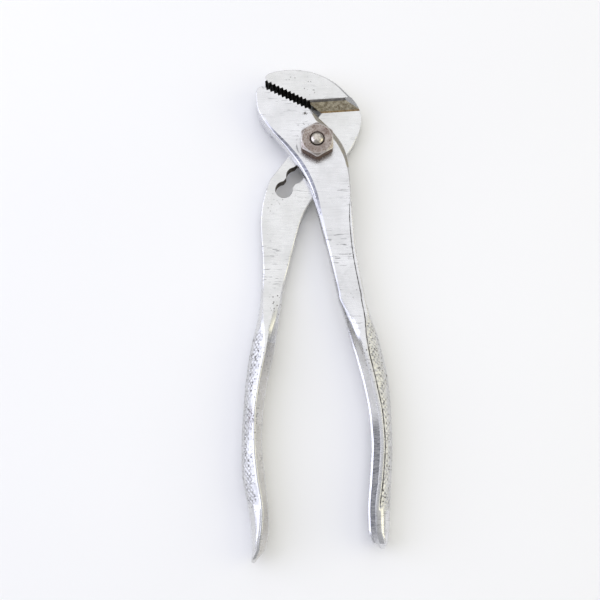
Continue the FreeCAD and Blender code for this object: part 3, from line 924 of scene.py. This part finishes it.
# %% Worn plate
# the facet blue-grey is painted shade standing in for dark reflections; the tan is a real stain on one bevel
# and a painted warm reflection on the rear grip's inner facet
ground_grey, panel_grey, painted_facet_shade = (0.46, 0.46, 0.48), (0.50, 0.50, 0.50), (0.17, 0.175, 0.20)
stain_and_reflection_tan, nick_dark, dirt_dark = (0.52, 0.47, 0.37), (0.20, 0.20, 0.21), (0.045, 0.034, 0.025)
rust_purple = (0.10, 0.045, 0.05)

def worn_plate(name, bright, cloudy, marks, nut_ring=0.0):
    """Nickel plate: cloudy shine, fine grinding across the arm, fields of nicks and pits, dirt where the
    mesh stores it, dark spots round some marks, dark arcs round the nut, painted shade on facets, and a
    tan stain that is partly a painted warm reflection."""
    material, tree = start_material(name)
    plain = in_mm(tree)
    clouds = noise(tree, plain, 0.10, 4.0)
    mottle = noise(tree, plain, 0.55, 5.0)
    fine = noise(tree, plain, 2.6, 4.0)
    grind = noise(tree, in_mm(tree, (0.14, 3.0, 0.6)), 1.0, 5.0, 0.7)
    across = noise(tree, in_mm(tree, (0.25, 1.6, 0.3), 0.1), 1.0, 4.0, 0.7)
    chipped = noise(tree, plain, 0.95, 3.0, 0.6)
    panel = stored(tree, "panel")
    nick, pit = scratches_and_pits(tree, plain, marks)
    dirt = plate_dirt(tree, marks, pit, times(tree, panel, ranged(tree, chipped, 0.61, 0.66)), mottle, fine)
    if nut_ring:
        arcs = ring_marks(tree, mottle, nut_ring, (-8.0, 1.5, top_face), (6.5, 8.0, 3.0))
        dirt = most(tree, dirt, arcs)
    rust = times(tree, ranged(tree, marked(tree, marks, "rust"), 0.0, 0.4), ranged(tree, fine, 0.50, 0.56))

    shade = layered(tree, ranged(tree, clouds, 0.35, 0.65), bright, cloudy)
    coats = ((ranged(tree, grind, 0.48, 0.72, 0.0, 0.35), ground_grey),
             (times(tree, panel, ranged(tree, chipped, 0.35, 0.65, 0.0, 0.5)), panel_grey),
             # painted shade on facets and the neck's flank, streaked across like grinding
             (times(tree, stored(tree, "tone"), ranged(tree, across, 0.38, 0.60, 1.0, 0.62)), painted_facet_shade),
             # tan: a real stain on one bevel, and a painted warm reflection on the rear grip's inner facet
             (times(tree, stored(tree, "stain"), ranged(tree, mottle, 0.3, 0.6, 0.5, 0.9)), stain_and_reflection_tan),
             (times(tree, nick, 0.75), nick_dark), (dirt, dirt_dark), (rust, rust_purple))
    for share, colour in coats:
        shade = layered(tree, share, shade, colour)

    spoiled = most(tree, dirt, rust)
    rough = added(tree, ranged(tree, clouds, 0.3, 0.7, 0.20, 0.28), ranged(tree, mottle, 0.35, 0.7, 0.0, 0.10))
    rough = added(tree, rough, times(tree, spoiled, 0.35))
    rough = added(tree, rough, times(tree, panel, 0.10))
    bumps = added(tree, times(tree, grind, 0.5), times(tree, fine, 0.10))
    bumps = sums(tree, "SUBTRACT", bumps, times(tree, added(tree, nick, pit), 0.7))
    bumps = added(tree, bumps, times(tree, times(tree, panel, chipped), 5.0))
    finished(tree, shade, ranged(tree, spoiled, 0.0, 1.0, 1.0, 0.25), rough, bumps, 0.00008, 0.35)
    return material

# %% The plates of the two halves
# each mark: what it is, its centre and its radii in millimetres
# the dark spots darken the metal at the root of the jaws
front_marks = [("dark_spot", (-4.4, 12.0, top_face), (1.5, 1.1, 1.5)),
               ("scratches", (7.0, -41.0, top_face), (8, 9, 4)),
               ("scratches", (-6.0, 5.0, top_face), (5, 4, 3)), ("pits", (20.0, -80.0, 12.0), (6, 12, 6))]
rear_marks = [("dark_spot", (-0.6, 15.0, 7.6), (2.6, 1.9, 3.0)),
              ("scratches", (-18.0, -39.0, lap_plane), (6, 6, 4)),
              ("scratches", (-17.0, -50.0, lap_plane), (5, 7, 5)), ("pits", (-14.9, -61.6, 7.0), (5, 8, 5)),
              ("pits", (-23.0, -95.0, 11.0), (3, 30, 5)), ("rust", (-23.6, -104.0, 11.0), (1.5, 6.5, 3.0))]
plate_front = worn_plate("worn_plate_front", (0.80, 0.80, 0.82), (0.72, 0.72, 0.73), front_marks, nut_ring=7.8)
plate_rear = worn_plate("worn_plate_rear", (0.79, 0.79, 0.79), (0.70, 0.70, 0.69), rear_marks)
print("plates", plate_front.name, plate_rear.name)

# %% Bare and rusty steel
old_grease, rubbed_edge_highlight = (0.02, 0.015, 0.012), (0.90, 0.87, 0.84)

def bare_steel(name, light, dark, rust, roughness, metallic, rusting, grain=0.9):
    """Steel without plate: two clouded tones, rust where fine noise lies in the rusting range and on
    the sides, old grease where the mesh keeps it, and edges rubbed bright, their lighter colour partly a
    painted highlight."""
    material, tree = start_material(name)
    plain = in_mm(tree)
    clouds = noise(tree, plain, grain, 5.0, 0.62)
    specks = noise(tree, plain, 3.8 * grain, 4.0, 0.6)
    side = stored(tree, "side")
    rusty = ranged(tree, added(tree, specks, times(tree, side, 0.12)), *rusting)
    # rubbed edges, their lighter colour partly a painted highlight
    edge = times(tree, stored(tree, "edge"), ranged(tree, clouds, 0.35, 0.55, 0.35, 1.0))
    shade = layered(tree, ranged(tree, clouds, 0.38, 0.62), light, dark)
    for share, colour in ((times(tree, side, 0.55), rust), (rusty, rust),
                          (stored(tree, "dirt"), old_grease), (edge, rubbed_edge_highlight)):
        shade = layered(tree, share, shade, colour)
    rough = added(tree, ranged(tree, clouds, 0.35, 0.65, roughness, roughness + 0.14), times(tree, rusty, 0.18))
    rough = sums(tree, "SUBTRACT", rough, times(tree, edge, 0.15))
    metal = ranged(tree, rusty, 0.0, 1.0, metallic, 0.35 * metallic)
    finished(tree, shade, metal, rough, added(tree, specks, clouds), 0.00012, 0.45)
    return material

# %% The bare, greasy and rusty finishes
# each one: light and dark tone, rust, roughness, how metallic, the rusting range, grain
# near-black tooth flanks: dirt, and painted shade of the deep, narrow gap between the jaws
tooth_grime_and_shade = bare_steel("tooth_grime_and_shade", (0.018, 0.016, 0.013), (0.006, 0.005, 0.004), (0.03, 0.02, 0.012),
                         0.55, 0.2, (0.5, 0.7))
step_grime = bare_steel("step_wall_grime", (0.62, 0.57, 0.44), (0.26, 0.22, 0.15), (0.15, 0.09, 0.045),
                        0.34, 0.5, (0.54, 0.68), 0.75)
foot_rust = bare_steel("step_foot_rust", (0.40, 0.29, 0.14), (0.24, 0.16, 0.08), (0.12, 0.06, 0.03),
                       0.55, 0.2, (0.50, 0.66), 0.6)
# a dark grey for the rolled top edge of the step
dark_step_edge = bare_steel("darkened_step_edge", (0.24, 0.23, 0.22), (0.12, 0.115, 0.11), (0.10, 0.07, 0.04),
                        0.34, 0.6, (0.58, 0.7), 0.6)
slot_grime = bare_steel("slot_wall_grime", (0.16, 0.14, 0.10), (0.05, 0.04, 0.03), (0.09, 0.05, 0.02),
                        0.45, 0.6, (0.5, 0.66))
nut_steel = bare_steel("tarnished_nut_steel", (0.44, 0.39, 0.36), (0.27, 0.22, 0.20), (0.12, 0.06, 0.03),
                       0.36, 0.85, (0.50, 0.68), 0.45)
stud_steel = bare_steel("polished_stud_steel", (0.66, 0.62, 0.56), (0.44, 0.39, 0.34), (0.12, 0.08, 0.05),
                        0.12, 1.0, (0.60, 0.72), 0.6)
print(len(bpy.data.materials), "finishes in all")

# %% [markdown]
# ## Cutting, with the right finish on each wall
# A wall that a cutter leaves takes the finish number of the cutter's own face. So each half and its
# cutters carry the same list of finishes, and only the cutters' numbers say which wall is greasy.

# %% Cut, then settle the surface
def cut(piece, cutter):
    """Take the cutter's volume out of the piece, and drop the cutter."""
    work = piece.modifiers.new("cut", "BOOLEAN")
    work.operation = "DIFFERENCE"
    work.solver = "EXACT"
    work.material_mode = "INDEX"
    work.object = cutter
    graph = bpy.context.evaluated_depsgraph_get()
    result = bpy.data.meshes.new_from_object(piece.evaluated_get(graph), depsgraph=graph)
    piece.modifiers.clear()
    old = piece.data
    name = old.name
    piece.data = result
    bpy.data.meshes.remove(old)
    result.name = name
    bpy.data.objects.remove(cutter)
    print(piece.name, "after a cut:", len(result.polygons), "faces")

def settle(piece, angle):
    """Shade smoothly except across edges sharper than the angle."""
    piece.data.shade_smooth()
    piece.data.set_sharp_from_angle(angle=np.radians(angle))
    weighted = piece.modifiers.new("even_flats", "WEIGHTED_NORMAL")
    weighted.weight = 100
    weighted.keep_sharp = True

# %% The cuts, each wall with its own finish
wall_finishes = {
    bore_cutter: [SLOT] * len(bore_cutter.data.polygons),
    slot_cutter: [SLOT] * len(slot_cutter.data.polygons),
    wedge_cutter: [FOOT, FOOT, WALL, ROLLED, ROLLED, ROLLED] + [PLATE] * 6,
}
for cutter, numbers in wall_finishes.items():
    cutter.data.polygons.foreach_set("material_index", np.array(numbers, np.int32))

for piece, cutters, plate in ((front_half, (relief_cutter, bore_cutter), plate_front),
                              (rear_half, (wedge_cutter, chip_cutter, slot_cutter), plate_rear)):
    outward(piece)
    for mesh in [piece.data] + [cutter.data for cutter in cutters]:
        for finish in (plate, tooth_grime_and_shade, slot_grime, foot_rust, step_grime, dark_step_edge):
            mesh.materials.append(finish)
    for cutter in cutters:
        cut(piece, cutter)
    settle(piece, 32)

# %% [markdown]
# ## Nut and bolt
# The nut is a hexagon whose corners are turned off by a cone at the top. It could be cut out of a
# hexagonal prism, but a function is simpler: its radius depends on the angle, and its height on the
# radius. Spanners have rubbed its edges bright, and their light colour is also a painted highlight;
# old grease sits round the thread. The bolt is turned: a profile swept round the pivot, with two flats
# where it runs in the slot, and a stud hammered over above the nut.

# %% Turned pieces
def turned_piece(name, radius, height, turn, tube):
    """Each ring of radii and heights stands at its own angle round the pivot, and the last is joined
    to the first. A tube's rings are closed; others run from axis to axis."""
    rings, around = radius.shape
    points = np.stack([radius * np.cos(turn)[:, None], radius * np.sin(turn)[:, None], height], -1)
    points = np.concatenate([points, points[:1]], axis=0)
    faces = tube_faces(rings + 1, around)
    if not tube:
        faces = faces.reshape(rings, around, 4)[:, :-1].reshape(-1, 4)
    return mesh_piece(name, points.reshape(-1, 3), faces.tolist())

def full_turn(count):
    """Angles evenly spaced round the pivot, in radians."""
    return np.arange(count) / count * 2 * np.pi

# %% A hexagon as a function of the angle
def hexagon_radius(turn, flats, blend=9, corner_share=1.125):
    """Distance from the axis to a hexagon with flats facing left and right, its corners slightly worn:
    the smaller of the hexagon's radius and a circle's, eased into each other."""
    off = np.mod(turn + np.pi / 6, np.pi / 3) - np.pi / 6
    exact = flats / 2 / np.cos(off)
    worn = flats / 2 * corner_share
    return -np.log(np.exp(-blend * exact) + np.exp(-blend * worn)) / blend

# %% The nut's section at every angle, and its surface
def hex_nut():
    """The section runs up the bore, over the top, down the 30 degree cone and the flat, and back. Each
    point also keeps how much of a side, a rubbed edge with a painted highlight, or a greasy rim it is."""
    turn = full_turn(288)
    flats = (nut_high[1] - nut_low[1]) * np.cos(np.pi / 6)
    radius = hexagon_radius(turn, flats)
    base, top, bore = nut_low[2], nut_high[2], nut_bore_radius
    shoulder = flats / 2 - 0.35
    fall = (radius - shoulder) * np.tan(np.radians(30))
    ones = np.ones_like(turn)
    across = [bore * ones, bore * ones, (bore + 0.4) * ones, (shoulder - 0.5) * ones, shoulder * ones,
              radius - 0.16, radius - 0.03, radius, radius, radius - 0.3, radius - 1.2]
    height = [base * ones, (top - 0.5) * ones, (top - 0.02) * ones, top * ones, (top - 0.05) * ones,
              top - fall, top - fall - 0.08, top - fall - 0.28, (base + 0.4) * ones, (base + 0.02) * ones,
              base * ones]
    across, height = np.stack(across, 1), np.stack(height, 1)
    steps = np.array([2, 2, 8, 3, 6, 1, 2, 6, 3, 1])
    ring_r = np.column_stack([filled(across, steps), across[:, -1:]])
    ring_z = np.column_stack([filled(height, steps), height[:, -1:]])
    piece = turned_piece("worn_hex_nut", ring_r, ring_z, turn, True)
    # rubbed edges of the chamfer and the top's rim, made lighter partly as a painted highlight
    edge = np.exp(-((ring_z - (top - 0.18 - fall[:, None])) / 0.24) ** 2) * (ring_r > shoulder + 0.05)
    rim = np.exp(-((ring_r - shoulder) / 0.16) ** 2) * (ring_z > top - 0.3)
    values = {"side": np.clip((top - 0.35 - ring_z) / 0.5, 0, 1) * (ring_r > shoulder - 0.3),
              "edge": np.clip(edge + 0.5 * rim, 0, 1),
              "dirt": np.clip(1 - (ring_r - bore) / 0.55, 0, 1) * (ring_z > top - 0.6)}
    keep_values(piece, "POINT", **{label: np.vstack([value, value[:1]]) for label, value in values.items()})
    outward(piece)
    piece.data.materials.append(nut_steel)
    settle(piece, 28)
    return piece

hex_nut_piece = hex_nut()
print("nut", len(hex_nut_piece.data.polygons), "faces")

# %% The bolt
flat_clearance = 0.15

def pivot_bolt():
    """The profile runs from the middle of the head's underside out, up the shank and over the stud.
    Inside the slot the radius is no more than the flats allow, and the stud's dome has three dents."""
    turn = full_turn(192)
    head, stud_top, shank, stud = bolt_high[0], bolt_high[2], shank_radius, stud_radius
    profile = np.array([(0.0, 0.0), (head - 1.2, 0.0), (head - 0.5, 0.12), (head - 0.1, 0.5), (head, 0.75),
                        (head, 1.5), (head - 0.15, 1.72), (head - 0.4, plate_bottom), (shank, plate_bottom),
                        (shank, lap_plane), (shank, lap_plane + 0.01), (shank, top_face - 0.05),
                        (stud, top_face + 0.05), (stud, stud_top - 0.95), (2.30, stud_top - 0.72),
                        (2.05, stud_top - 0.48), (1.65, stud_top - 0.26), (1.1, stud_top - 0.10),
                        (0.5, stud_top - 0.02), (0.0, stud_top)])
    corners = np.repeat(profile[None], len(turn), axis=0)
    steps = np.array([6, 2, 2, 1, 2, 1, 1, 4, 6, 1, 4, 2, 6, 2, 2, 2, 3, 3, 3])
    radius = np.column_stack([filled(corners[:, :, 0], steps), corners[:, -1, 0]])
    height = np.column_stack([filled(corners[:, :, 1], steps), corners[:, -1, 1]])
    flat_way = slot_turn - np.pi / 2
    flat_radius = (slot_neck_half - flat_clearance) / np.maximum(np.abs(np.cos(turn - flat_way)), 1e-3)
    in_slot = (height > plate_bottom + 1e-6) & (height < lap_plane + 1e-6)
    radius = np.where(in_slot, np.minimum(radius, flat_radius[:, None]), radius)
    dents = 0.05 * np.sin(3 * turn + 1.0)[:, None] * np.clip(radius / stud, 0, 1) * (height > stud_top - 0.6)
    piece = turned_piece("peened_pivot_bolt", radius, height - np.abs(dents), turn, False)
    outward(piece)
    piece.data.materials.append(stud_steel)
    settle(piece, 35)
    return piece

pivot_bolt_piece = pivot_bolt()
print("bolt", len(pivot_bolt_piece.data.polygons), "faces")

# %% [markdown]
# ## What moves with what
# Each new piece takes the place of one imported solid, and rides on that solid's body. The bolt and its
# nut ride together, so they slip along the slot as one.

# %% What each piece stands for
for piece, body, node, slot in ((front_half, "front_half", "front_half", "plated_steel_front"),
                                (rear_half, "rear_half", "rear_half", "plated_steel_rear"),
                                (hex_nut_piece, "pivot", "hex_nut", "nut_steel"),
                                (pivot_bolt_piece, "pivot", "pivot_bolt", "bolt_steel")):
    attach(piece, body)
    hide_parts(node)
    print(piece.name, "rides", body)

# %% [markdown]
# ## Table, light and camera
# The tool lies on a white table in soft daylight: cool from the left, faintly warm from the right, and
# a broad bright sheet above that the plated faces mirror. Between the sheet and the table the room is
# darker, and that is what draws the bevels.

# %% The table
def table_top(span=6.0, height=0.0):
    """One square face, with its side in metres, in two faintly different whites."""
    points = np.array([(-1, -1, height), (1, -1, height), (1, 1, height), (-1, 1, height)], float)
    points[:, :2] *= span * MM / 2
    piece = mesh_piece("table_top", points, [(0, 1, 2, 3)])
    material, tree = start_material("white_table")
    tint = ranged(tree, noise(tree, in_mm(tree), 0.004, 2.0), 0.3, 0.7)
    shade = layered(tree, tint, (0.90, 0.90, 0.905), (0.93, 0.93, 0.935))
    surface = put(tree, "ShaderNodeBsdfPrincipled", {"Base Color": shade, "Roughness": 0.6,
                                                     "Specular IOR Level": 0.2})
    put(tree, "ShaderNodeOutputMaterial", {"Surface": surface.outputs["BSDF"]})
    piece.data.materials.append(material)

table_top()

# %% The light
def sheet_light(name, place, aim, size, power, colour, mirrored=True):
    """A square lamp of a size in metres that looks at a point; mirrored ones show up in the metal."""
    lamp = bpy.data.lights.new(name, "AREA")
    lamp.shape = "SQUARE"
    lamp.size = size
    lamp.energy = power
    lamp.color = colour
    piece = bpy.data.objects.new(name, lamp)
    bpy.context.scene.collection.objects.link(piece)
    piece.location = place
    piece.rotation_euler = (Vector(aim) - Vector(place)).to_track_quat("-Z", "Y").to_euler()
    piece.visible_glossy = mirrored

middle_of_tool = (0.0, -0.06, 0.0)
sheet_light("sheet_above", (0.0, 0.48, 0.86), middle_of_tool, 1.15, 2.75, (1.0, 1.0, 1.0))
sheet_light("ceiling_bounce", (0.0, -0.06, 1.1), middle_of_tool, 1.0, 2.2, (1.0, 0.99, 0.98), False)
sheet_light("window_left", (-0.85, 0.05, 0.62), middle_of_tool, 1.0, 5.4, (0.80, 0.82, 1.0))
sheet_light("window_right", (0.85, -0.05, 0.62), middle_of_tool, 0.8, 2.6, (1.0, 0.95, 0.68))

world = bpy.data.worlds.new("soft_room")
world.use_nodes = True
bpy.context.scene.world = world
world.node_tree.nodes["Background"].inputs["Color"].default_value = (0.86, 0.87, 0.90, 1.0)
world.node_tree.nodes["Background"].inputs["Strength"].default_value = 0.50

# %% The camera
camera_data = bpy.data.cameras.new("camera")
camera_data.lens = 60.0
camera_data.sensor_width = 36.0
camera = bpy.data.objects.new("camera", camera_data)
bpy.context.scene.collection.objects.link(camera)
camera.location = (-0.00643, -0.13667, 0.36888)
camera.rotation_euler = (np.radians(12.0), 0.0, 0.0)
bpy.context.scene.camera = camera
bpy.context.scene.view_settings.view_transform = "Standard"
